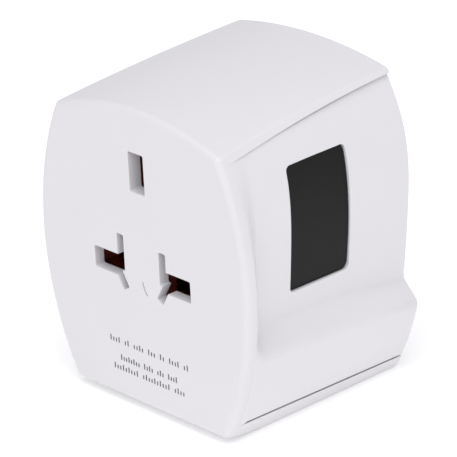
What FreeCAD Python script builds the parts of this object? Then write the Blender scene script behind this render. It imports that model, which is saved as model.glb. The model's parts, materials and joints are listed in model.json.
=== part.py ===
"""Universal travel adapter, drawn as it comes apart on a bench.

Every shape is drawn in socket coordinates: x across, y into the body from the
socket face, z up from the line through the live and neutral holes. Saving a
part moves it to the frame of the whole object: origin under the middle of the
body, on the plane it stands on. Millimetres throughout.
"""
import FreeCAD, Part
import math
import os

V = FreeCAD.Vector

# ---- driving dimensions of the body ----
DEPTH = 50.5             # socket face to rear
HOLE_HEIGHT = 32.2       # live and neutral hole line above the base
SIDE_RADIUS = 66.5       # each side is one arc
HALF_WIDTH = 31.5
WIDEST_AT = 2.2          # height of the widest point
CROWN_FRONT, CROWN_MID, CROWN_REAR = 35.95, 37.1, 38.2
TOP_RADIUS_FRONT, TOP_RADIUS_MID, TOP_RADIUS_REAR = 71.0, 88.0, 108.0
CROWN_MID_AT = 20.0
BASE = -HOLE_HEIGHT
NOSE_LIFT = 2.1          # the underside curves up this much at the face
NOSE_LENGTH = 12.0
EDGE_ROUND = 1.4
WALL = 2.2
FACE_WALL = 2.5

# ---- socket holes ----
UK_HALF_SPACING = 11.1
UK_HOLE = (7.7, 4.7)
UK_HOLE_AT = 10.75        # the hole runs inward into the US slot beside it
EARTH_HEIGHT = 22.2
EARTH_HOLE = (4.5, 8.7)
US_HALF_SPACING = 6.35
US_SLOT_WIDTH = 2.0
HOLE_CORNER = 0.35
HOLE_BREAK = 0.12        # broken edge round every hole of the face
EARTH_WALL = 3.3         # the face is thicker round the earth hole
NEUTRAL_SLOT = (-1.0, 7.1)
LIVE_SLOT = (-1.0, 6.3)
AU_CENTRE = (6.85, -1.8)
AU_SLOT = (2.0, 7.0)
AU_LEAN = 30.0
SLIT_START, SLIT_END = (0.1, -1.8), (1.35, -4.6)
SLIT_RADIUS, SLIT_WIDTH, SLIT_DEPTH = 6.0, 0.36, 1.0

# ---- side panels, finger scoop and release buttons ----
SEAM_TOP = ((2.5, 30.0), (23.6, 32.85), (50.5, 34.9))
SEAM_BOTTOM = ((2.5, -27.9), (50.5, -29.1))
SEAM_TOP_GAP, SEAM_LOW_GAP = 0.2, 0.45
SEAM_START = 4.4         # the seams open this far behind the face
FLANGE, FLANGE_FROM = 1.5, 20.0
SCOOP_FRONT = 2.9
SCOOP_BLEND = 3.0
SCOOP_FALL = math.tan(math.radians(3.7))
SCOOP_CURVE = ((20.5, 37.0), (25.5, 27.6), (27.55, 16.0), (27.35, 5.5), (25.5, -8.4))
SCOOP_VALLEY = ((25.5, -8.4), (25.9, -10.6), (27.2, -12.7))
SCOOP_LEDGE = (31.5, -16.2)
PANEL_WALL = 2.0
WINDOW = (16.6, 27.8)
WINDOW_CENTRE = (25.25, 11.5)
WINDOW_ROUND = 1.8
BUTTON_SUNK = 0.7
BUTTON_THICK = 2.6
BUTTON_TRAVEL = 1.5
BUTTON_LIP = 1.2
STEM_RADIUS = 2.5
STEM_TIP = 21.2

# ---- plug sets behind the rear cover ----
TRAVEL = 17.6
REAR_COVER = (47.9, 50.3)
CARRIER = (25.3, 29.3)
PIN_TIP = 49.7
UK_PIN = (6.35, 4.0)
UK_EARTH_PIN = (4.0, 8.0)
EU_HALF_SPACING, EU_HEIGHT, EU_PIN_RADIUS = 9.5, 11.0, 2.0
US_HEIGHT = -12.7
US_BLADE = (1.5, 6.35)
TURRET_RADIUS = 4.0
RUNNING_FIT = 0.05
PIN_CLEARANCE = 0.25
KNOB_X = 11.0
KNOB = (5.2, 4.8)
RAIL = (19.4, 20.8)
ROD_RADIUS = 1.0
RODS = ((16.5, 0.0), (16.5, 22.0), (-16.9, 8.0), (0.0, 11.0), (0.0, US_HEIGHT))
SCREWS = ((17.5, 28.6), (-17.5, 28.6), (18.4, -26.1), (-18.4, -26.1))
POST_RADIUS = 2.5
SCREW_RADIUS = 1.3
SCREW_HEAD_RADIUS = 2.3

NOSE_RADIUS = (NOSE_LENGTH ** 2 + NOSE_LIFT ** 2) / (2 * NOSE_LIFT)
OUT = 45.0               # further than any outer face


# ---- drawing helpers ----
def box(x, y, z):
    """A block between the two values given on each axis."""
    corner = V(min(x), min(y), min(z))
    return Part.makeBox(max(x) - corner.x, max(y) - corner.y, max(z) - corner.z, corner)


def rod(x, z, radius, y):
    """A round bar along y."""
    return Part.makeCylinder(radius, y[1] - y[0], V(x, y[0], z), V(0, 1, 0))


def rounded_prism_x(centre, size, radius, x):
    """A rounded rectangle in y and z, run between two x values."""
    block = box(x, (centre[0] - size[0] / 2, centre[0] + size[0] / 2),
                (centre[1] - size[1] / 2, centre[1] + size[1] / 2))
    edges = [e for e in block.Edges if abs(e.tangentAt(e.FirstParameter).x) > 0.9]
    return block.makeFillet(radius, edges)


def mirrored(shape):
    return shape.mirror(V(0, 0, 0), V(1, 0, 0))


def joined(first, *rest):
    return first.fuse(list(rest)).removeSplitter()


def coil(start, length, radius, wire, turns):
    """A compression spring along x: round wire swept along one smooth helix."""
    steps = round(turns * 24)
    angles = [2 * math.pi * turns * i / steps for i in range(steps + 1)]
    path = Part.BSplineCurve()
    path.interpolate([V(radius * math.cos(a), radius * math.sin(a), length * i / steps)
                      for i, a in enumerate(angles)])
    ring = Part.Wire(Part.makeCircle(wire, V(radius, 0, 0), V(0, 1, 0)))
    spring = Part.Wire(path.toShape()).makePipeShell([ring], True, True)
    spring.rotate(V(0, 0, 0), V(0, 1, 0), 90)
    spring.translate(start)
    return spring


# ---- outer form ----
def top_section(y, crown, radius, inset):
    """Wide block section whose top is the crowned arc of the case at one depth."""
    top = crown - inset
    side = top - radius + math.sqrt(radius ** 2 - OUT ** 2)
    bottom = BASE - 5
    arc = Part.Arc(V(-OUT, y, side), V(0, y, top), V(OUT, y, side)).toShape()
    base = Part.makePolygon([V(OUT, y, side), V(OUT, y, bottom), V(-OUT, y, bottom),
                             V(-OUT, y, side)])
    return Part.Wire([arc] + base.Edges)


def envelope(inset, y0, y1):
    """The case form, drawn in from its outer faces by inset and cut to y0 .. y1."""
    sections = [top_section(0, CROWN_FRONT, TOP_RADIUS_FRONT, inset),
                top_section(CROWN_MID_AT, CROWN_MID, TOP_RADIUS_MID, inset),
                top_section(DEPTH, CROWN_REAR, TOP_RADIUS_REAR, inset)]
    form = Part.makeLoft(sections, True, False)
    for sign in (1, -1):
        centre = sign * (HALF_WIDTH - SIDE_RADIUS)
        form = form.common(rod(centre, WIDEST_AT, SIDE_RADIUS - inset, (-1, DEPTH + 1)))
    under_nose = box((-OUT, OUT), (-5, NOSE_LENGTH), (BASE - 5, BASE + NOSE_LIFT + 2 + inset))
    roll = Part.makeCylinder(NOSE_RADIUS - inset, 2 * OUT,
                             V(-OUT, NOSE_LENGTH, BASE + NOSE_RADIUS), V(1, 0, 0))
    form = form.cut(under_nose.cut(roll))
    return form.common(box((-OUT, OUT), (y0, y1), (BASE + inset, OUT)))


def rounded_envelope():
    """The whole outer form with its long edges and the edges of its face rounded."""
    form = envelope(0, 0, DEPTH)

    def is_long(edge):
        low, high = edge.BoundBox.YMin, edge.BoundBox.YMax
        return high - low > 5 and abs(edge.CenterOfMass.x) > 15

    form = form.makeFillet(EDGE_ROUND, [e for e in form.Edges if is_long(e)])
    face = [e for e in form.Edges if e.BoundBox.YMax < 0.01]
    return form.makeFillet(EDGE_ROUND, face)


def panel_zone(x, top_gap=0.0, low_gap=0.0):
    """Block over the part of the right side that its panel fills, less the two gaps."""
    top = [V(x[0], y, z - top_gap) for y, z in SEAM_TOP]
    low = [V(x[0], y, z + low_gap) for y, z in SEAM_BOTTOM]
    edges = [Part.Arc(*top).toShape(), Part.LineSegment(top[2], low[1]).toShape(),
             Part.LineSegment(low[1], low[0]).toShape(),
             Part.LineSegment(low[0], top[0]).toShape()]
    return Part.Face(Part.Wire(edges)).extrude(V(x[1] - x[0], 0, 0))


def scoop(shift, front):
    """Everything outside the finger scoop's surface moved inwards by shift.

    The surface is one curve run rearwards along a line that falls slightly.
    """
    y0 = front
    lift = (DEPTH - y0) * SCOOP_FALL

    def place(point):
        return V(point[0] - shift, y0, point[1] + lift)

    curve = Part.BSplineCurve()
    curve.interpolate([place(p) for p in SCOOP_CURVE])
    first, last = place(SCOOP_CURVE[0]), place(SCOOP_LEDGE)
    valley = Part.Arc(*[place(p) for p in SCOOP_VALLEY]).toShape()
    corners = [last, V(OUT, y0, last.z), V(OUT, y0, first.z), first]
    rest = [Part.LineSegment(place(SCOOP_VALLEY[2]), last).toShape()]
    rest += [Part.LineSegment(a, b).toShape() for a, b in zip(corners, corners[1:])]
    face = Part.Face(Part.Wire([curve.toShape(), valley] + rest))
    run = DEPTH + 3 - y0
    return face.extrude(V(0, run, -run * SCOOP_FALL))


# ---- case ----
def rounded_bar(size, radius, y):
    """A bar along y whose section is a rectangle with rounded corners."""
    block = box((-size[0] / 2, size[0] / 2), y, (-size[1] / 2, size[1] / 2))
    corners = [e for e in block.Edges if abs(e.tangentAt(e.FirstParameter).y) > 0.9]
    return block.makeFillet(radius, corners)


def hole(x, z, size, y, lean=0.0):
    """Cutter of a hole with small corner radii and a broken edge at the face."""
    wide = [s + 2 * HOLE_BREAK for s in size]
    mouth = rounded_bar(wide, HOLE_CORNER + HOLE_BREAK, (y[0], HOLE_BREAK))
    inner = [e for e in mouth.Edges if e.BoundBox.YMin > HOLE_BREAK - 0.001]
    mouth = mouth.makeChamfer(HOLE_BREAK, inner)
    cutter = rounded_bar(size, HOLE_CORNER, y).fuse(mouth)
    cutter.rotate(V(0, 0, 0), V(0, 1, 0), lean)
    cutter.translate(V(x, 0, z))
    return cutter


def socket_holes(y):
    """The cutters for the UK, US and AU pin holes of the face, each pole's joined."""
    cutters = [hole(0, EARTH_HEIGHT, EARTH_HOLE, y)]
    for sign, slot in ((-1, NEUTRAL_SLOT), (1, LIVE_SLOT)):
        uk = hole(sign * UK_HOLE_AT, 0, UK_HOLE, y)
        us = hole(sign * US_HALF_SPACING, sum(slot) / 2, (US_SLOT_WIDTH, slot[1] - slot[0]), y)
        au = hole(sign * AU_CENTRE[0], AU_CENTRE[1], AU_SLOT, y, sign * AU_LEAN)
        cutters.append(joined(uk, us, au))
    return cutters


def slit():
    """The short curved slit between the two lower holes."""
    middle = V((SLIT_START[0] + SLIT_END[0]) / 2, 0, (SLIT_START[1] + SLIT_END[1]) / 2)
    chord = V(SLIT_END[0] - SLIT_START[0], 0, SLIT_END[1] - SLIT_START[1])
    reach = math.sqrt(SLIT_RADIUS ** 2 - (chord.Length / 2) ** 2)
    centre = middle + V(-chord.z, 0, chord.x).normalize() * reach
    depth = (-1, SLIT_DEPTH)
    ring = rod(centre.x, centre.z, SLIT_RADIUS + SLIT_WIDTH / 2, depth)
    ring = ring.cut(rod(centre.x, centre.z, SLIT_RADIUS - SLIT_WIDTH / 2, depth))
    return ring.common(box((SLIT_START[0] - 1, SLIT_END[0] + 0.3), depth,
                           (SLIT_END[1], SLIT_START[1])))


def front_cover(form):
    """Face with the socket holes, its rim, collars behind the holes and screw posts."""
    plate = form.common(box((-OUT, OUT), (0, FACE_WALL), (-OUT, OUT)))
    earth = box((-4, 4), (FACE_WALL, EARTH_WALL), (16.2, 28.3))
    posts = [rod(x, z, POST_RADIUS, (FACE_WALL, 44)) for x, z in SCREWS]
    cover = joined(plate, earth, *posts)
    bores = [rod(x, z, SCREW_RADIUS, (30, 45)) for x, z in SCREWS]
    cover = cover.cut(socket_holes((-1, EARTH_WALL + 0.5)) + bores)
    return cover.cut(slit())


def sleeve(form):
    """Case wall between the face and the rear, open where the side panels go."""
    wall = form.common(box((-OUT, OUT), (FACE_WALL, DEPTH), (-OUT, OUT)))
    wall = wall.cut(envelope(WALL, FACE_WALL - 1, DEPTH))
    zone = panel_zone((12, OUT))
    return wall.cut([zone, mirrored(zone)])


def half_of(shape, above):
    """The solid of a two-part shape that lies above or below the hole line."""
    return [s for s in shape.Solids if (s.CenterOfMass.z > 0) == above][0]


def bottom_shell(case):
    """Lower case half with the three slots that the slider knobs run in."""
    slots = [box((x - KNOB[0] / 2 - 0.3, x + KNOB[0] / 2 + 0.3),
                 (CARRIER[0] - 0.9, CARRIER[1] + TRAVEL + 0.9), (BASE - 1, BASE + WALL + 1))
             for x in (-KNOB_X, 0, KNOB_X)]
    return half_of(case, False).cut(slots)


def side_panel(form):
    """Right side panel: finger scoop, button window and a flange inside the case."""
    outer = form.cut(envelope(WALL, -1, DEPTH + 1))
    floor = form.common(scoop(PANEL_WALL, FACE_WALL))
    side = (FLANGE_FROM, OUT)
    closed = box(side, (FACE_WALL, SEAM_START), (-OUT, OUT)).common(panel_zone(side))
    zone = panel_zone(side, SEAM_TOP_GAP, SEAM_LOW_GAP).fuse(closed)
    skin = outer.fuse(floor).common(zone)
    layer = envelope(WALL, 6, 47.5).cut(envelope(WALL + 1.1, 5, 48.5))
    flange = layer.common(panel_zone(side, -FLANGE, -FLANGE))
    flange = flange.cut(panel_zone(side, FLANGE, FLANGE))
    skin = skin.fuse(flange).cut(rounded_scoop())
    window = rounded_prism_x(WINDOW_CENTRE, WINDOW, WINDOW_ROUND, (15, OUT))
    return skin.cut(window).removeSplitter().Solids[0]


def rounded_scoop():
    """The scoop with its front end blended in."""
    cutter = scoop(0, SCOOP_FRONT)
    face_edges = [e for e in cutter.Edges
                  if e.BoundBox.YMax - e.BoundBox.YMin < 0.01
                  and e.BoundBox.YMax < SCOOP_FRONT + 0.01 and e.BoundBox.XMin < 30]
    return cutter.makeFillet(SCOOP_BLEND, face_edges)


def rear_cover(form):
    """Plate inside the rear edge of the case with an opening for every pin."""
    y = REAR_COVER
    plate = envelope(WALL + 0.05, *y)
    side = scoop(PANEL_WALL + 0.05, FACE_WALL)
    plate = plate.cut([side, mirrored(side)])
    c = PIN_CLEARANCE
    cuts = []
    for sign in (-1, 1):
        uk = sign * UK_HALF_SPACING
        cuts.append(box((uk - UK_PIN[0] / 2 - c, uk + UK_PIN[0] / 2 + c), y,
                        (-UK_PIN[1] / 2 - c, UK_PIN[1] / 2 + c)))
        cuts.append(rod(sign * EU_HALF_SPACING, EU_HEIGHT, EU_PIN_RADIUS + c, y))
        cuts.append(rod(sign * US_HALF_SPACING, US_HEIGHT, TURRET_RADIUS + 0.2, y))
    cuts.append(box((-UK_EARTH_PIN[0] / 2 - c, UK_EARTH_PIN[0] / 2 + c), y,
                    (EARTH_HEIGHT - UK_EARTH_PIN[1] / 2 - c,
                     EARTH_HEIGHT + UK_EARTH_PIN[1] / 2 + c)))
    cuts += [rod(x, z, ROD_RADIUS, (y[0], y[0] + 1)) for x, z in RODS]
    cuts += [rod(x, z, SCREW_RADIUS, y) for x, z in SCREWS]
    cuts += [rod(x, z, SCREW_HEAD_RADIUS, (y[1] - 1.4, y[1])) for x, z in SCREWS]
    return plate.cut(cuts)


def case_screws():
    """Four cross-head screws from the rear cover into the posts of the face."""
    screws = []
    for x, z in SCREWS:
        head = rod(x, z, SCREW_HEAD_RADIUS, (REAR_COVER[1] - 1.4, REAR_COVER[1] - 0.1))
        recess = [box((x - a, x + a), (REAR_COVER[1] - 0.9, REAR_COVER[1]), (z - b, z + b))
                  for a, b in ((0.35, 1.3), (1.3, 0.35))]
        shank = rod(x, z, SCREW_RADIUS, (32, REAR_COVER[1] - 1.4))
        screws.append(head.fuse(shank).cut(recess))
    return Part.makeCompound(screws)


# ---- release buttons ----
def release_button():
    """Soft black pad in the window, with a lip behind the panel and a spring stem."""
    near, far = (15, OUT), BUTTON_SUNK + BUTTON_THICK
    pad_size = [s - 0.3 for s in WINDOW]
    lip_size = [s + 2 * BUTTON_LIP for s in WINDOW]
    back = scoop(far, FACE_WALL)
    pad = rounded_prism_x(WINDOW_CENTRE, pad_size, WINDOW_ROUND - 0.15, near)
    pad = pad.common(back).cut(scoop(BUTTON_SUNK, FACE_WALL))
    lip = rounded_prism_x(WINDOW_CENTRE, lip_size, WINDOW_ROUND, near)
    lip = lip.common(back).cut(scoop(PANEL_WALL + 0.3, FACE_WALL))
    y, z = WINDOW_CENTRE
    stem = Part.makeCylinder(STEM_RADIUS, 24.5 - STEM_TIP, V(STEM_TIP, y, z), V(1, 0, 0))
    return joined(pad, lip, stem)


def button_spring():
    """Coil between the rail of the middle frame and the back of the button."""
    y, z = WINDOW_CENTRE
    return coil(V(RAIL[1] + 0.35, y, z), 2.75, STEM_RADIUS + 0.8, 0.25, 2.5)


# ---- inside ----
def contact_block():
    """Insulating block with one chamber for each pin of the visiting plug."""
    block = box((-17.5, 17.5), (FACE_WALL, 23.5), (-9, 11))
    block = block.fuse(box((-5.5, 5.5), (EARTH_WALL, 23.5), (11, 28.5)))
    chambers = [box((sign * 4.4, sign * 15.6), (2, 22.3), (-6.8, 8.6)) for sign in (-1, 1)]
    chambers.append(box((-3.3, 3.3), (3, 22.3), (17.0, 27.4)))
    tails = [box((sign * 13.0, sign * 13.6), (22, 24), (-4, 4)) for sign in (-1, 1)]
    return block.removeSplitter().cut(chambers + tails)


def contact(sign):
    """Bent strip: two leaves for a flat UK pin, one for an upright blade, one tail."""
    leaves = [box((sign * 8.2, sign * 15.3), (3.4, 20), (z, z + 0.4)) for z in (-2.9, 2.5)]
    blade = box((sign * 4.6, sign * 5.0), (5, 20), (-6.2, 7.6))
    back = box((sign * 4.6, sign * 15.3), (20, 20.5), (-6.2, 7.6))
    tail = box((sign * 13.0, sign * 13.6), (20.2, 25.2), (-4, 4))
    return joined(leaves[0], leaves[1], blade, back, tail)


def middle_frame():
    """Plate behind the contacts and the two side rails that the plug sets run between."""
    plate = box((-RAIL[1], RAIL[1]), (23.5, 25.0), (-19, 25.4))
    rails = [box((sign * RAIL[0], sign * RAIL[1]), (19.5, REAR_COVER[0]), (-19, 20))
             for sign in (-1, 1)]
    frame = joined(plate, *rails)
    y, z = WINDOW_CENTRE
    hole = Part.makeCylinder(STEM_RADIUS + 0.3, 2 * OUT, V(-OUT, y, z), V(1, 0, 0))
    between = box((-RAIL[0], RAIL[0]), (15, 35), (z - 5, z + 5))
    tails = [box((sign * 13.0, sign * 13.6), (23, 26), (-4, 4)) for sign in (-1, 1)]
    seats = [rod(x, z2, ROD_RADIUS, (24, 26)) for x, z2 in RODS]
    return frame.cut([hole.cut(between)] + tails + seats)


def busbar(sign):
    """Upright strip on the middle plate that feeds the three plug sets on its side."""
    strip = box((sign * 12.0, sign * 14.4), (25.0, 25.2), (-17, 15))
    return strip.cut(box((sign * 13.0, sign * 13.6), (24, 26), (-4, 4)))


def guide_rods():
    """Steel rods between the middle plate and the rear cover; the carriers run on them."""
    return Part.makeCompound([rod(x, z, ROD_RADIUS, (24, REAR_COVER[0] + 1)) for x, z in RODS])


# ---- plug sets ----
def bored(carrier, *indices):
    """A carrier with running holes for its guide rods."""
    return carrier.cut([rod(RODS[i][0], RODS[i][1], ROD_RADIUS + RUNNING_FIT, CARRIER)
                        for i in indices])


def uk_carrier():
    """C-shaped slide round the EU set, with its arm down to the knob."""
    y = CARRIER
    bar = box((-14.65, 18.5), y, (-4.4, 4.4))
    column = box((14.5, 18.5), y, (-23, 25.2))
    top = box((4, 18.5), y, (18.5, 25.2))
    earth = box((-4, 4), y, (17.5, 27))
    foot = box((KNOB_X - 1.6, 18.5), y, (-23, -19.4))
    stem = box((KNOB_X - 1.6, KNOB_X + 1.6), y, (BASE + WALL, -22))
    slide = joined(bar, column, top, earth, foot, stem)
    slide = slide.cut([uk_pin(-1), uk_pin(1), uk_earth_pin()])
    return bored(slide, 0, 1)


def uk_pin(sign):
    """Flat UK live or neutral pin with a bevelled tip."""
    x = sign * UK_HALF_SPACING
    pin = box((x - UK_PIN[0] / 2, x + UK_PIN[0] / 2), (26, PIN_TIP),
              (-UK_PIN[1] / 2, UK_PIN[1] / 2))
    return pin.makeChamfer(0.8, [e for e in pin.Edges if e.BoundBox.YMin > PIN_TIP - 0.01])


def uk_earth_pin():
    """Plastic pin that opens the shutters of a UK socket."""
    a, b = UK_EARTH_PIN
    pin = box((-a / 2, a / 2), (26, PIN_TIP), (EARTH_HEIGHT - b / 2, EARTH_HEIGHT + b / 2))
    return pin.makeChamfer(1.0, [e for e in pin.Edges if e.BoundBox.YMin > PIN_TIP - 0.01])


def eu_carrier():
    """Slide for the two round pins, with its arm down the other side."""
    y = CARRIER
    bar = box((-18.8, 13.9), y, (5.0, 17.0))
    arm = box((-18.8, -15.0), y, (-23, 5.5))
    foot = box((-18.8, -KNOB_X + 1.6), y, (-23, -19.4))
    stem = box((-KNOB_X - 1.6, -KNOB_X + 1.6), y, (BASE + WALL, -22))
    slide = joined(bar, arm, foot, stem).cut([eu_pin(-1), eu_pin(1)])
    return bored(slide, 2, 3)


def eu_pin(sign):
    """Round pin with a domed tip."""
    x = sign * EU_HALF_SPACING
    shank = rod(x, EU_HEIGHT, EU_PIN_RADIUS, (26, PIN_TIP))
    tip = [e for e in shank.Edges if e.BoundBox.YMin > PIN_TIP - 0.01]
    return shank.makeFillet(1.5, tip)


def us_carrier():
    """Slide for the two turning blades."""
    y = CARRIER
    bar = box((-12.5, 12.5), y, (-18.2, -7.2))
    stem = box((-1.6, 1.6), y, (BASE + WALL, -17))
    holes = [rod(sign * US_HALF_SPACING, US_HEIGHT, TURRET_RADIUS + RUNNING_FIT, y)
             for sign in (-1, 1)]
    return bored(joined(bar, stem).cut(holes), 4)


def us_blade(sign):
    """Flat blade, upright for US sockets."""
    x = sign * US_HALF_SPACING
    a, b = US_BLADE
    blade = box((x - a / 2, x + a / 2), (28, PIN_TIP), (US_HEIGHT - b / 2, US_HEIGHT + b / 2))
    return blade.makeChamfer(0.5, [e for e in blade.Edges if e.BoundBox.YMin > PIN_TIP - 0.01])


def us_turret(sign):
    """Round root that lets the blade turn to the Australian angle."""
    x = sign * US_HALF_SPACING
    return rod(x, US_HEIGHT, TURRET_RADIUS, (25.6, 32.7)).cut(us_blade(sign))


def knob(x):
    """Slider knob with grip ribs, kept above the plane the adapter stands on."""
    half = KNOB[0] / 2
    middle = sum(CARRIER) / 2
    y = (middle - KNOB[1] / 2, middle + KNOB[1] / 2)
    block = box((x - half, x + half), y, (BASE + 0.9, BASE + WALL))
    ribs = [box((x - half, x + half), (middle + step - 0.3, middle + step + 0.3),
                (BASE + 0.4, BASE + 0.95)) for step in (-1.8, -0.6, 0.6, 1.8)]
    return joined(block, *ribs)


# ---- assembly ----
def save(node, shape):
    placed = shape.copy()
    placed.translate(V(0, -DEPTH / 2, HOLE_HEIGHT))
    placed.exportStep("parts/" + node + ".step")


def main():
    os.makedirs("parts", exist_ok=True)
    form = rounded_envelope()
    case = sleeve(form)
    panel = side_panel(form)
    button = release_button()
    spring = button_spring()
    parts = {
        "front_cover": front_cover(form),
        "top_shell": half_of(case, True),
        "bottom_shell": bottom_shell(case),
        "side_panel_right": panel,
        "side_panel_left": mirrored(panel),
        "rear_cover": rear_cover(form),
        "case_screws": case_screws(),
        "release_button_right": button,
        "release_button_left": mirrored(button),
        "button_spring_right": spring,
        "button_spring_left": mirrored(spring),
        "contact_block": contact_block(),
        "live_contact": contact(1),
        "neutral_contact": contact(-1),
        "middle_frame": middle_frame(),
        "live_busbar": busbar(1),
        "neutral_busbar": busbar(-1),
        "guide_rods": guide_rods(),
        "uk_carrier": uk_carrier(),
        "uk_live_pin": uk_pin(-1),
        "uk_neutral_pin": uk_pin(1),
        "uk_earth_pin": uk_earth_pin(),
        "uk_knob": knob(KNOB_X),
        "eu_carrier": eu_carrier(),
        "eu_pin_left": eu_pin(-1),
        "eu_pin_right": eu_pin(1),
        "eu_knob": knob(-KNOB_X),
        "us_carrier": us_carrier(),
        "us_blade_left": us_blade(-1),
        "us_blade_right": us_blade(1),
        "us_turret_left": us_turret(-1),
        "us_turret_right": us_turret(1),
        "us_knob": knob(0),
    }
    for node, shape in parts.items():
        save(node, shape)


main()
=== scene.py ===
"""Universal travel adapter: finishes, side panels, springs, printed marks and stage."""
import json
import math

import bpy
import numpy as np
from mathutils import Matrix, Vector


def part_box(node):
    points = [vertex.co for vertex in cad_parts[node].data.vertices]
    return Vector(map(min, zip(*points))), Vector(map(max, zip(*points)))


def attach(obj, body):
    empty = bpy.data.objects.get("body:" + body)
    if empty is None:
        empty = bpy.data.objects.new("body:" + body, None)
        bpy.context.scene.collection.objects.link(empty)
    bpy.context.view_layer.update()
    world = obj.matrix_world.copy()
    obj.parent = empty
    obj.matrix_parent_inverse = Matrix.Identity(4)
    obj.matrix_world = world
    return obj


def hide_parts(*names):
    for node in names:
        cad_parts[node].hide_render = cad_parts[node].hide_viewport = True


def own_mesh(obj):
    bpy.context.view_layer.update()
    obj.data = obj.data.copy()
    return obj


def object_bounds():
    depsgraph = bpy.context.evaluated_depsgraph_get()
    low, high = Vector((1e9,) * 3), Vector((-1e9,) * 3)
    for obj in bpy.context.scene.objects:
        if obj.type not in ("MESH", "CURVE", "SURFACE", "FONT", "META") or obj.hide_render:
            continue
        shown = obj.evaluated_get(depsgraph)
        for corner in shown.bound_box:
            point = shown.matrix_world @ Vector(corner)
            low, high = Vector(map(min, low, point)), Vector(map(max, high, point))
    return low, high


bl_info = {
    "name": "Travel adapter",
    "version": (1, 0, 0),
    "blender": (4, 5, 0),
    "location": "3D View > Sidebar > Adapter",
    "description": "Finishes a travel adapter and sets it on a plain stage",
    "category": "Object",
}

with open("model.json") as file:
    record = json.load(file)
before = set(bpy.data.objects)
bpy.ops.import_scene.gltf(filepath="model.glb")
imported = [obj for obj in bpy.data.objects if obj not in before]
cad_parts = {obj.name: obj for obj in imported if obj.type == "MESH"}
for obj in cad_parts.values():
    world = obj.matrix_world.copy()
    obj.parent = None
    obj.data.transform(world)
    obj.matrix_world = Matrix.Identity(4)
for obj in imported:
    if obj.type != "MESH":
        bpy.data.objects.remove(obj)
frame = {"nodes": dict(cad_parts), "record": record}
cad_low, cad_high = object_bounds()

MM = 0.001
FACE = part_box("front_cover")[0].y
DEPTH = (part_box("top_shell")[1].y - FACE) / MM
HOLE_HEIGHT = sum(corner.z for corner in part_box("uk_live_pin")) / 2

# Form of the case in millimetres: y from the face, z from the line of the lower holes.
HALF_WIDTH = cad_high.x / MM
SIDE_RADIUS = 66.5              # arc of the side, seen from the front
WIDEST_AT = 2.2                 # height at which that arc is widest
PANEL_FRONT = 2.5               # the panels begin here, behind the rim of the face

# Seams over and under a panel. A growth takes place between the two y values of its span.
SEAM_TOP = (30.0, 32.9, 34.9)   # height at the front, the middle and the rear
SEAM_LOW = (-27.9, -29.1)       # height at the front and the rear
TOP_GAP, TOP_GAP_GROWTH, TOP_GAP_SPAN = 0.02, 0.28, (5, 45)
LOW_GAP_GROWTH, LOW_GAP_SPAN = 0.45, (4.0, 4.6)

# Finger scoop. Its heights are those at the rear, and it lies higher towards the face.
SCOOP_SLOPE = math.tan(math.radians(3.7))
SCOOP_DEPTH = 5.25
SCOOP_BOTTOM, SCOOP_HEIGHT = -9.0, 38.0     # its deepest height, and from there to its top
SCOOP_FULLNESS = 1.2                        # over 1 keeps it deep for longer
TOP_DEPTH, TOP_DEPTH_GROWTH, TOP_DEPTH_SPAN = 0.35, 0.55, (0, 45)
LEDGE = (-15.6, -9.6)                       # heights of the ledge's outer and inner end
RIM_BLEND = 4.8                             # length of the S behind the rim

# Side panel: window, edges and the number of points in its mesh.
WINDOW_LIP = 0.35               # radius of the window's edge
WINDOW_CORNER = 1.15
PAD_LIP = 1.2                   # the pad reaches this far behind the window's edge
TOP_SHARP_FOR, SHARP_FOR = 30, 2    # an edge turns from sharp to round over this length
COLUMNS_PER_SIDE = 64
SURFACE_STEPS, INSIDE_STEPS, EDGE_STEPS = 97, 22, 6

COIL_STEPS, WIRE_SIDES = 161, 12

# Printed marks in millimetres. A row is its left, right, base and the strokes of each word.
MARK_ROWS = ((-11.1, 12.4, -18.2, (4, 2, 4, 3, 2, 4, 2)),
             (-8.1, 8.8, -22.0, (8, 4, 3, 4)),
             (-10.3, 10.9, -24.4, (9, 10, 4)))
WORD_GAP = 1.3                  # in spacings of the strokes
TALL, SHORT = 1.35, 0.95
INK_PROUD, INK_SUNK = 0.015, 0.01
INK_THIN = "#58585D"            # colour where the ink is thin
STROKE_SIDES = 16

CASE_FINISH = "ABS and polycarbonate, satin moulded"
SPRING_FINISH = "Spring steel, drawn"


# ---- small helpers ----
def linear(hex_colour):
    """Linear RGBA of an sRGB hex value such as '#E3E2E7'."""
    channels = [int(hex_colour[i:i + 2], 16) / 255 for i in (1, 3, 5)]
    return tuple(c / 12.92 if c <= 0.04045 else ((c + 0.055) / 1.055) ** 2.4
                 for c in channels) + (1.0,)


def add(tree, kind, settings=None, inputs=None):
    """A node with its settings, and its inputs set to values or linked to sockets."""
    node = tree.nodes.new(kind)
    for name, value in (settings or {}).items():
        setattr(node, name, value)
    for name, value in (inputs or {}).items():
        socket = node.inputs[name]
        if isinstance(value, bpy.types.NodeSocket):
            tree.links.new(value, socket)
        else:
            socket.default_value = value
    return node


def ramp(tree, factor, low, high, start=0.0, end=1.0):
    """Value from low to high as factor goes from start to end."""
    return add(tree, "ShaderNodeMapRange", None,
               {"Value": factor, "From Min": start, "From Max": end,
                "To Min": low, "To Max": high}).outputs["Result"]


def material(name, roughness, **values):
    """An empty material with its Principled shader; values go straight on its sockets."""
    made = bpy.data.materials.new(name)
    made.use_nodes = True
    shader = made.node_tree.nodes["Principled BSDF"]
    shader.inputs["Roughness"].default_value = roughness
    for socket, value in values.items():
        shader.inputs[socket.replace("_", " ")].default_value = value
    return made, made.node_tree, shader


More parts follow.
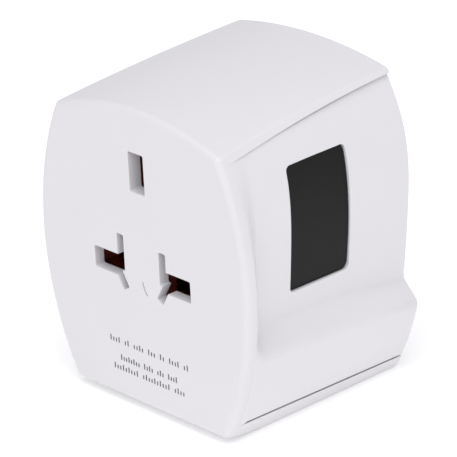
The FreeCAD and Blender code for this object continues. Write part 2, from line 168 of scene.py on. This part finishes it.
def pattern(tree, kind, feature_mm, stretch=(1, 1, 1), **inputs):
    """A texture on Object coordinates whose feature size is in real millimetres.

    A stretch under 1 draws the features out along that axis.
    """
    place = add(tree, "ShaderNodeTexCoord").outputs["Object"]
    if stretch != (1, 1, 1):
        place = add(tree, "ShaderNodeMapping", None,
                    {"Vector": place, "Scale": stretch}).outputs["Vector"]
    return add(tree, kind, None, {"Vector": place, "Scale": 1 / (feature_mm * MM), **inputs})


def bump(tree, shader, height, depth_mm):
    """Relief of the given depth on the shader's normal."""
    made = add(tree, "ShaderNodeBump", None,
               {"Height": height, "Distance": depth_mm * MM, "Strength": 1.0})
    tree.links.new(made.outputs["Normal"], shader.inputs["Normal"])


def tint(tree, factor, low, high):
    """Colour between two hex values by factor."""
    return add(tree, "ShaderNodeMix", {"data_type": "RGBA"},
               {"Factor": factor, "A": linear(low), "B": linear(high)}).outputs["Result"]


def add_mesh(name, vertices, faces, body, slot, finish, *stands_for):
    """A smooth-shaded piece in metres that rides a body and hides the CAD parts it stands in for.
    """
    mesh = bpy.data.meshes.new(name)
    mesh.from_pydata(vertices, [], faces)
    mesh.shade_smooth()
    mesh.materials.append(finish)
    piece = bpy.data.objects.new(name, mesh)
    bpy.context.scene.collection.objects.link(piece)
    if stands_for:
        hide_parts(*stands_for)
    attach(piece, body)
    return piece


def grid_faces(rows, columns, wrap_rows=False):
    """Quads of a grid whose columns run round and close; rows may close as well."""
    r = np.arange(rows if wrap_rows else rows - 1)[:, None]
    c = np.arange(columns)[None, :]
    r2, c2 = (r + 1) % rows, (c + 1) % columns
    quads = np.stack([r * columns + c, r * columns + c2,
                      r2 * columns + c2, r2 * columns + c], axis=-1)
    return quads.reshape(-1, 4)


def placed(x, y, z):
    """Vertices in metres from socket millimetres."""
    points = np.stack([x * MM, y * MM + FACE, z * MM + HOLE_HEIGHT], axis=-1)
    return points.reshape(-1, 3)


def capped(points):
    """Vertices and faces of a stack of closed rings, first and last shut by a fan.

    points is (rings, around, 3). Each end fan meets at the mean of its ring.
    """
    rings, around = points.shape[:2]
    vertices = np.concatenate([points.reshape(-1, 3), points[:1].mean(axis=1),
                               points[-1:].mean(axis=1)])
    faces = grid_faces(rings, around)[:, ::-1].tolist()
    c = np.arange(around)
    last = (rings - 1) * around
    first_fan = np.stack([c, (c + 1) % around, 0 * c + rings * around], axis=-1)
    last_fan = np.stack([last + (c + 1) % around, last + c, 0 * c + rings * around + 1], axis=-1)
    return vertices, faces + first_fan.tolist() + last_fan.tolist()


def smooth(value, start, end):
    """0 before start, 1 after end, and a cubic S between."""
    s = np.clip((value - start) / (end - start), 0, 1)
    return s * s * (3 - 2 * s)


# ---- form of the side ----
def side_surface(y, z):
    """Outer x of the right side: the side's arc less the depth of the finger scoop.

    Down the panel the depth grows as half a cosine to its deepest point, then an S
    brings it back to the arc at the ledge. The whole pattern falls slightly towards
    the rear, and an S from the rim lets it in behind the face.
    """
    arc = HALF_WIDTH - SIDE_RADIUS + np.sqrt(SIDE_RADIUS ** 2 - (z - WIDEST_AT) ** 2)
    height = z - (DEPTH - y) * SCOOP_SLOPE
    shallow = TOP_DEPTH + TOP_DEPTH_GROWTH * smooth(y, *TOP_DEPTH_SPAN)
    climb = np.clip((height - SCOOP_BOTTOM) / SCOOP_HEIGHT, 0, 1) ** SCOOP_FULLNESS
    depth = shallow + (SCOOP_DEPTH - shallow) * 0.5 * (1 + np.cos(math.pi * climb))
    return arc - depth * smooth(height, *LEDGE) * smooth(y, PANEL_FRONT, PANEL_FRONT + RIM_BLEND)


def seam_heights(y):
    """Heights of the panel's top and bottom edges, each kept off the case by its gap.

    The top is the parabola through its three heights, the bottom a straight line.
    """
    s = (y - PANEL_FRONT) / (DEPTH - PANEL_FRONT)
    front, middle, rear = SEAM_TOP
    top = front * (1 - s) * (1 - 2 * s) + 4 * middle * s * (1 - s) + rear * s * (2 * s - 1)
    low = SEAM_LOW[0] + (SEAM_LOW[1] - SEAM_LOW[0]) * s
    return (top - TOP_GAP - TOP_GAP_GROWTH * smooth(y, *TOP_GAP_SPAN),
            low + LOW_GAP_GROWTH * smooth(y, *LOW_GAP_SPAN))


def rounded_rectangle(a, b, half, radius):
    """Points of the unit square's edge carried onto a rectangle with round corners."""
    p = np.stack([a * half[0], b * half[1]], axis=-1)
    core = np.clip(p, -np.array(half) + radius, np.array(half) - radius)
    out = p - core
    length = np.maximum(np.linalg.norm(out, axis=-1, keepdims=True), 1e-9)
    corner = np.all(np.abs(out) > 1e-9, axis=-1, keepdims=True)
    return np.where(corner, core + out / length * radius, p)


def square_edge(per_side):
    """Once round the unit square from its front low corner, closer near the corners."""
    f = -np.cos(math.pi * np.arange(per_side) / per_side)
    one = np.ones(per_side)
    return np.concatenate([f, one, -f, -one]), np.concatenate([-one, f, one, -f])


# ---- finishes ----
def moulded_white(name, low, high, roughness):
    """White plastic, ABS and polycarbonate or nylon, moulded against spark-eroded steel.

    Gives an even satin surface with a very fine grain, and a slow drift of tone
    where the melt flowed. The real grain, a few hundredths of a millimetre, is too
    fine to show, so it is drawn coarser.
    """
    flow_mm, grain_mm, grain_depth_mm = 18, 0.22, 0.003
    made, tree, shader = material(name, roughness, IOR=1.54, Subsurface_Weight=0.06,
                                  Subsurface_Radius=(0.0012, 0.0011, 0.001))
    flow = pattern(tree, "ShaderNodeTexNoise", flow_mm, (1, 0.5, 1), Detail=2.0)
    grain = pattern(tree, "ShaderNodeTexNoise", grain_mm, Detail=3.0, Roughness=0.6)
    tree.links.new(tint(tree, flow.outputs["Fac"], low, high), shader.inputs["Base Color"])
    tree.links.new(ramp(tree, grain.outputs["Fac"], roughness - 0.05, roughness + 0.06),
                   shader.inputs["Roughness"])
    bump(tree, shader, grain.outputs["Fac"], grain_depth_mm)
    return made


def soft_touch_black():
    """Black thermoplastic elastomer overmoulded with a velvety skin.

    Gives a deep black that lifts to charcoal at a glancing view, with a fine even tooth.
    """
    tooth_mm, tooth_depth_mm, wear_mm = 0.18, 0.006, 6
    made, tree, shader = material("Elastomer, soft-touch moulded", 0.5, IOR=1.5,
                                  Specular_IOR_Level=0.22)
    tooth = pattern(tree, "ShaderNodeTexNoise", tooth_mm, Detail=4.0, Roughness=0.7)
    wear = pattern(tree, "ShaderNodeTexNoise", wear_mm, Detail=3.0)
    tree.links.new(tint(tree, wear.outputs["Fac"], "#070708", "#0D0D0E"),
                   shader.inputs["Base Color"])
    tree.links.new(ramp(tree, wear.outputs["Fac"], 0.48, 0.6), shader.inputs["Roughness"])
    bump(tree, shader, tooth.outputs["Fac"], tooth_depth_mm)
    return made


def filled_plastic(name, low, high, roughness=0.5):
    """Filled plastic, moulded: nylon with glass fibre, or phenolic resin.

    The filler near the skin gives pale flecks and an uneven, dry gloss.
    """
    fibre_mm, fibre_depth_mm = 0.5, 0.01
    made, tree, shader = material(name, roughness, IOR=1.53)
    fibres = pattern(tree, "ShaderNodeTexNoise", fibre_mm, (1, 0.25, 1), Detail=6.0,
                     Roughness=0.75)
    share = ramp(tree, fibres.outputs["Fac"], 0, 1, 0.45, 0.75)
    tree.links.new(tint(tree, share, low, high), shader.inputs["Base Color"])
    tree.links.new(ramp(tree, fibres.outputs["Fac"], roughness - 0.12, roughness + 0.12),
                   shader.inputs["Roughness"])
    bump(tree, shader, fibres.outputs["Fac"], fibre_depth_mm)
    return made


def worked_metal(name, low, high, roughness, line_mm, stretch):
    """Bare or plated metal with the fine lines left by rolling, drawing or turning."""
    stain_mm, line_depth_mm = 3.0, 0.004
    made, tree, shader = material(name, roughness, Metallic=1.0)
    lines = pattern(tree, "ShaderNodeTexNoise", line_mm, stretch, Detail=4.0, Roughness=0.6)
    stain = pattern(tree, "ShaderNodeTexNoise", stain_mm, Detail=3.0)
    tree.links.new(tint(tree, ramp(tree, stain.outputs["Fac"], 0, 1, 0.35, 0.65), low, high),
                   shader.inputs["Base Color"])
    tree.links.new(ramp(tree, lines.outputs["Fac"], roughness * 0.7, roughness * 1.4),
                   shader.inputs["Roughness"])
    bump(tree, shader, lines.outputs["Fac"], line_depth_mm)
    return made


def finishes():
    """One material for each slot of the record."""
    return {
        "case_white": moulded_white(CASE_FINISH, "#DCDADD", "#E1DFE2", 0.42),
        "soft_black": soft_touch_black(),
        "insulator_dark": filled_plastic("Phenolic resin, brown moulded", "#6A2A20", "#84402F"),
        "contact_copper": worked_metal("Copper strip, rolled", "#A8583A", "#C98A62", 0.28,
                                       0.15, (1, 0.05, 1)),
        "pin_nickel": worked_metal("Brass pin, nickel plated", "#C9C4BA", "#D8D4CC", 0.2,
                                   0.12, (1, 0.04, 1)),
        "pin_plastic": moulded_white("Nylon, white moulded", "#DEDEE0", "#E6E6E8", 0.45),
        "carrier_grey": filled_plastic("Nylon, grey glass-filled", "#5C5C5E", "#77777A"),
        "knob_black": filled_plastic("Nylon, black moulded", "#151516", "#222224", 0.45),
        "spring_steel": worked_metal(SPRING_FINISH, "#9C9C9A", "#B4B4B2", 0.3,
                                     0.1, (1, 0.05, 1)),
        "screw_zinc": worked_metal("Steel screw, zinc plated", "#B9BCC2", "#CFC9B8", 0.28,
                                   0.2, (1, 1, 1)),
    }


# ---- settings ----
class AdapterPanelSettings(bpy.types.PropertyGroup):
    """Edge and wall of the side panels"""
    edge: bpy.props.FloatProperty(
        name="Edge", description="Radius of the panel's edges", default=0.25 * MM,
        unit="LENGTH")
    wall: bpy.props.FloatProperty(
        name="Wall", description="Thickness of the panel", default=1.9 * MM, unit="LENGTH")


class AdapterSpringSettings(bpy.types.PropertyGroup):
    """Wire and travel of the springs"""
    wire: bpy.props.FloatProperty(
        name="Wire", description="Radius of the wire", default=0.25 * MM, unit="LENGTH")
    turns: bpy.props.FloatProperty(
        name="Turns", description="Number of turns in the coil", default=2.5)
    press: bpy.props.FloatProperty(
        name="Press", description="How far the pad's travel shortens the coil",
        default=1.5 * MM, unit="LENGTH")


class AdapterPrintSettings(bpy.types.PropertyGroup):
    """Ink of the printed marks"""
    ink: bpy.props.StringProperty(
        name="Ink", description="Colour of the printed marks", default="#3E3E43")
    stroke: bpy.props.FloatProperty(
        name="Stroke", description="Width of one printed stroke", default=0.34 * MM,
        unit="LENGTH")


class AdapterStageSettings(bpy.types.PropertyGroup):
    """Camera, lights and floor"""
    azimuth: bpy.props.FloatProperty(
        name="Azimuth", description="Camera angle round the adapter from its face",
        default=math.radians(47.99), subtype="ANGLE")
    elevation: bpy.props.FloatProperty(
        name="Elevation", description="Camera angle above the horizon",
        default=math.radians(23.21), subtype="ANGLE")
    roll: bpy.props.FloatProperty(
        name="Roll", description="Turn of the camera about its own axis",
        default=math.radians(2.93), subtype="ANGLE")
    distance: bpy.props.FloatProperty(
        name="Distance", description="Camera to the point it aims at",
        default=0.7637, unit="LENGTH")
    lens: bpy.props.FloatProperty(
        name="Lens", description="Focal length in millimetres", default=293.8, unit="CAMERA")
    aim: bpy.props.FloatVectorProperty(
        name="Aim", description="Point the camera looks at",
        default=(0.009715, -0.009519, 0.03992), subtype="TRANSLATION")
    floor_colour: bpy.props.StringProperty(
        name="Floor", description="Colour of the floor", default="#FAFAFA")
    key_power: bpy.props.FloatProperty(
        name="Key light", description="Power of the large light above", default=5.8, unit="POWER")
    fill_power: bpy.props.FloatProperty(
        name="Fill light", description="Power of the light on the right", default=0.05,
        unit="POWER")
    front_power: bpy.props.FloatProperty(
        name="Front light", description="Power of the small light near the camera",
        default=0.12, unit="POWER")
    glow: bpy.props.FloatProperty(
        name="Table light", description="Light that comes up through the floor", default=0.2)
    sky: bpy.props.FloatProperty(
        name="Room light", description="Strength of the even light all round", default=0.6)


# ---- operators ----
class ADAPTER_OT_finishes(bpy.types.Operator):
    """Give every CAD part the material of its slot"""
    bl_idname = "adapter.finishes"
    bl_label = "Finishes"

    def execute(self, context):
        made = finishes()
        for part in frame["record"]["subparts"]:
            mesh = frame["nodes"][part["node"]].data
            mesh.materials.clear()
            mesh.materials.append(made[part["material_slot"]])
        return {"FINISHED"}


class ADAPTER_OT_side_panels(bpy.types.Operator):
    """Both scooped side panels, each with its window"""
    bl_idname = "adapter.side_panels"
    bl_label = "Side panels"

    def execute(self, context):
        settings = context.scene.adapter_panel
        for side in (1, -1):
            add_side_panel(side, settings.edge / MM, settings.wall / MM)
        return {"FINISHED"}


def window_of():
    """Centre and half size of the window in y and z, from the CAD pad inside it."""
    low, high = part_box("release_button_right")
    centre = ((low.y + high.y) / 2 - FACE) / MM, ((low.z + high.z) / 2 - HOLE_HEIGHT) / MM
    half = (high.y - low.y) / 2 / MM - PAD_LIP, (high.z - low.z) / 2 / MM - PAD_LIP
    return centre, half


def add_side_panel(side, edge, wall):
    """A closed ring of surface between the window and the panel's outline.

    Columns run round the window. Rows go up the window's wall, over its rounded
    edge, out across the scooped surface, over the outer edge, down the outer wall
    and back along the inside. Every point is a place in y and z and a drop below
    the side surface.
    """
    centre, half = window_of()
    a, b = square_edge(COLUMNS_PER_SIDE)
    inner = rounded_rectangle(a, b, half, WINDOW_CORNER) + np.array(centre)
    along = (a + 1) / 2
    outer_y = PANEL_FRONT + along * (DEPTH - PANEL_FRONT)
    top, low = seam_heights(outer_y)
    outer = np.stack([outer_y, low + (b + 1) / 2 * (top - low)], axis=-1)
    across = outer - inner
    inward = across / np.linalg.norm(across, axis=-1, keepdims=True)
    near_top = b > 0.9      # the top edge and its two corners
    sharp_for = np.where(near_top, TOP_SHARP_FOR, SHARP_FOR)
    outer_edge = edge * smooth(outer_y, PANEL_FRONT, PANEL_FRONT + sharp_for)[:, None]
    lip = WINDOW_LIP
    turn = np.linspace(0, math.pi / 2, EDGE_STEPS)
    start, stop = inner + inward * lip, outer - inward * outer_edge
    places, drops = [], []
    for drop in (wall, wall / 2, lip * 1.2):
        places.append(inner)
        drops.append(np.full(len(a), drop))
    for angle in turn:
        places.append(inner + inward * lip * (1 - math.cos(angle)))
        drops.append(np.full(len(a), lip * (1 - math.sin(angle))))
    for s in np.linspace(0, 1, SURFACE_STEPS)[1:-1]:
        places.append(start + (stop - start) * s)
        drops.append(np.zeros(len(a)))
    for angle in turn:
        places.append(outer - inward * outer_edge * (1 - math.sin(angle)))
        drops.append(outer_edge[:, 0] * (1 - math.cos(angle)))
    for drop in (wall / 2, wall):
        places.append(outer)
        drops.append(np.full(len(a), drop))
    for s in np.linspace(1, 0, INSIDE_STEPS)[1:-1]:
        places.append(inner + across * s)
        drops.append(np.full(len(a), wall))
    place, drop = np.array(places), np.array(drops)
    x = side_surface(place[..., 0], place[..., 1]) - drop
    rows, columns = drop.shape
    faces = grid_faces(rows, columns, wrap_rows=True)
    if side > 0:
        faces = faces[:, ::-1]
    word = "right" if side > 0 else "left"
    add_mesh("panel_skin_" + word, placed(side * x, place[..., 0], place[..., 1]), faces,
             "case", "case_white", bpy.data.materials[CASE_FINISH], "side_panel_" + word)


class ADAPTER_OT_springs(bpy.types.Operator):
    """The coil spring behind each release pad"""
    bl_idname = "adapter.springs"
    bl_label = "Springs"

    def execute(self, context):
        settings = context.scene.adapter_spring
        for side in (1, -1):
            add_spring(side, settings)
        return {"FINISHED"}


def add_spring(side, settings):
    """A round wire swept along a helix: angle round the wire by angle round the coil.
    """
    word = "right" if side > 0 else "left"
    low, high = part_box("button_spring_" + word)
    wire = settings.wire
    centre = (low + high) / 2
    radius = (high.z - low.z) / 2 - wire
    length = high.x - low.x - 2 * wire
    turns = np.linspace(0, 2 * math.pi * settings.turns, COIL_STEPS)[:, None]
    around = np.linspace(0, 2 * math.pi, WIRE_SIDES + 1)[:-1][None, :]
    reach = radius + wire * np.cos(around)
    x = centre.x - length / 2 + length * turns / turns.max() + wire * np.sin(around)
    points = np.stack([x, centre.y + reach * np.cos(turns), centre.z + reach * np.sin(turns)],
                      axis=-1)
    vertices, faces = capped(points)
    spring = add_mesh("coil_" + word, vertices, faces, "case", "spring_steel",
                      bpy.data.materials[SPRING_FINISH], "button_spring_" + word)
    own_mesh(spring)


class ADAPTER_OT_printed_marks(bpy.types.Operator):
    """Three rows of plain grey strokes where the rating is printed"""
    bl_idname = "adapter.printed_marks"
    bl_label = "Printed marks"

    def execute(self, context):
        settings = context.scene.adapter_print
        add_marks(settings.stroke / MM, settings.ink)
        return {"FINISHED"}


def add_marks(stroke, ink):
    """Upright strokes with round ends, grouped like words but without any letters.

    Every stroke is a prism on a circle that is pulled apart upwards to its height.
    Two strokes in five are tall, in a fixed uneven order.
    """
    centres, heights = [], []
    for left, right, base, words in MARK_ROWS:
        letters = np.concatenate([np.arange(n) + sum(words[:i]) + WORD_GAP * i
                                  for i, n in enumerate(words)])
        x = left + letters * (right - left) / letters.max()
        tall = np.where((np.arange(len(x)) * 7) % 5 < 2, TALL, SHORT)
        centres.append(np.stack([x, base + tall / 2], axis=-1))
        heights.append(tall)
    centre, tall = np.concatenate(centres), np.concatenate(heights)
    angle = np.linspace(0, 2 * math.pi, STROKE_SIDES + 1)[:-1]
    ring_x = np.cos(angle) * stroke / 2
    ring_z = np.sin(angle) * stroke / 2
    up_or_down = np.sign(np.sin(angle + 1e-6))     # the small turn keeps it from being 0
    z = ring_z[None] + up_or_down[None] * (tall[:, None] - stroke) / 2 + centre[:, 1:2]
    x = ring_x[None] + centre[:, :1]
    front = placed(x, np.full_like(x, -INK_PROUD), z)
    back = placed(x, np.full_like(x, INK_SUNK), z)
    count, around = len(centre), len(angle)
    first = (np.arange(count) * around)[:, None] + np.arange(around)[None]
    after = np.roll(first, -1, axis=1)
    total = count * around
    walls = np.stack([first, after, after + total, first + total], axis=-1).reshape(-1, 4)
    caps = np.concatenate([first, (first + total)[:, ::-1]]).tolist()
    made, tree, shader = material("Ink, pad printed", 0.5, IOR=1.5)
    cover = pattern(tree, "ShaderNodeTexNoise", 0.15, Detail=3.0)
    tree.links.new(tint(tree, cover.outputs["Fac"], ink, INK_THIN), shader.inputs["Base Color"])
    vertices, faces = np.concatenate([front, back]), walls[:, ::-1].tolist() + caps
    piece = add_mesh("rating_marks", vertices, faces, "case", "case_white", made)
    piece.data.shade_flat()


class ADAPTER_OT_stage(bpy.types.Operator):
    """Floor, soft studio light and camera"""
    bl_idname = "adapter.stage"
    bl_label = "Stage"

    def execute(self, context):
        settings = context.scene.adapter_stage
        add_floor(settings)
        add_lights(context.scene, settings)
        add_camera(context.scene, settings)
        return {"FINISHED"}


def add_floor(settings):
    """A flat square light table of 4 m with a slight mottle and a glow from below."""
    half = 2.0
    corners = np.array([(-half, -half, 0), (half, -half, 0), (half, half, 0), (-half, half, 0)])
    mesh = bpy.data.meshes.new("floor")
    mesh.from_pydata(corners.tolist(), [], [(0, 1, 2, 3)])
    floor = bpy.data.objects.new("floor", mesh)
    bpy.context.scene.collection.objects.link(floor)
    made, tree, shader = material("Acrylic, opal light table", 0.6, IOR=1.45,
                                  Emission_Color=linear("#FFFFFF"),
                                  Emission_Strength=settings.glow)
    mottle = pattern(tree, "ShaderNodeTexNoise", 40, Detail=3.0)
    tree.links.new(tint(tree, mottle.outputs["Fac"], settings.floor_colour, "#FFFFFF"),
                   shader.inputs["Base Color"])
    mesh.materials.append(made)


def add_lights(scene, settings):
    """An even pale room, a large light above and two small ones, in front and at the right.

    Each light has its offset from the adapter's middle, its width and its power.
    """
    world = bpy.data.worlds.new("room")
    world.use_nodes = True
    background = world.node_tree.nodes["Background"]
    background.inputs["Color"].default_value = linear("#FBFBFF")
    background.inputs["Strength"].default_value = settings.sky
    scene.world = world
    centre = (Vector(cad_low) + Vector(cad_high)) / 2
    places = {"key": (Vector((0.3, -0.3, 0.85)), 0.9, settings.key_power),
              "front": (Vector((0.53, -0.58, 0.1)), 0.15, settings.front_power),
              "fill": (Vector((0.9, -0.25, -0.02)), 0.6, settings.fill_power)}
    for name, (offset, size, power) in places.items():
        light = bpy.data.lights.new(name, "AREA")
        light.size = size
        light.energy = power
        lamp = bpy.data.objects.new(name, light)
        lamp.location = centre + offset
        lamp.rotation_euler = (-offset).to_track_quat("-Z", "Y").to_euler()
        scene.collection.objects.link(lamp)


def add_camera(scene, settings):
    """A long lens looking down at the socket face and the right side."""
    a, e, roll = settings.azimuth, settings.elevation, settings.roll
    back = Vector((math.sin(a) * math.cos(e), -math.cos(a) * math.cos(e), math.sin(e)))
    right = Vector((math.cos(a), math.sin(a), 0))
    up = back.cross(right)
    turned_right = right * math.cos(roll) - up * math.sin(roll)
    turned_up = up * math.cos(roll) + right * math.sin(roll)
    data = bpy.data.cameras.new("camera")
    sensor_mm = 36
    data.lens, data.sensor_width = settings.lens, sensor_mm
    data.clip_start, data.clip_end = 0.01, 20
    camera = bpy.data.objects.new("camera", data)
    axes = Matrix((turned_right, turned_up, back)).transposed().to_4x4()
    place = Vector(settings.aim) + back * settings.distance
    camera.matrix_world = Matrix.Translation(place) @ axes
    scene.collection.objects.link(camera)
    scene.camera = camera


class ADAPTER_PT_panel(bpy.types.Panel):
    """The adapter's steps in the sidebar"""
    bl_label = "Travel adapter"
    bl_space_type = "VIEW_3D"
    bl_region_type = "UI"
    bl_category = "Adapter"

    def draw(self, context):
        for step in OPERATORS:
            self.layout.operator(step.bl_idname)


OPERATORS = (ADAPTER_OT_finishes, ADAPTER_OT_side_panels, ADAPTER_OT_springs,
             ADAPTER_OT_printed_marks, ADAPTER_OT_stage)
SETTINGS = {"adapter_panel": AdapterPanelSettings, "adapter_spring": AdapterSpringSettings,
            "adapter_print": AdapterPrintSettings, "adapter_stage": AdapterStageSettings}
CLASSES = tuple(SETTINGS.values()) + OPERATORS + (ADAPTER_PT_panel,)


def register():
    for cls in CLASSES:
        bpy.utils.register_class(cls)
    for name, group in SETTINGS.items():
        setattr(bpy.types.Scene, name, bpy.props.PointerProperty(type=group))


def unregister():
    for name in SETTINGS:
        delattr(bpy.types.Scene, name)
    for cls in reversed(CLASSES):
        bpy.utils.unregister_class(cls)


def main():
    register()
    bpy.context.scene.view_settings.view_transform = "Standard"
    bpy.ops.adapter.finishes()
    bpy.ops.adapter.side_panels()
    bpy.ops.adapter.springs()
    bpy.ops.adapter.printed_marks()
    bpy.ops.adapter.stage()


if __name__ == "__main__":
    main()
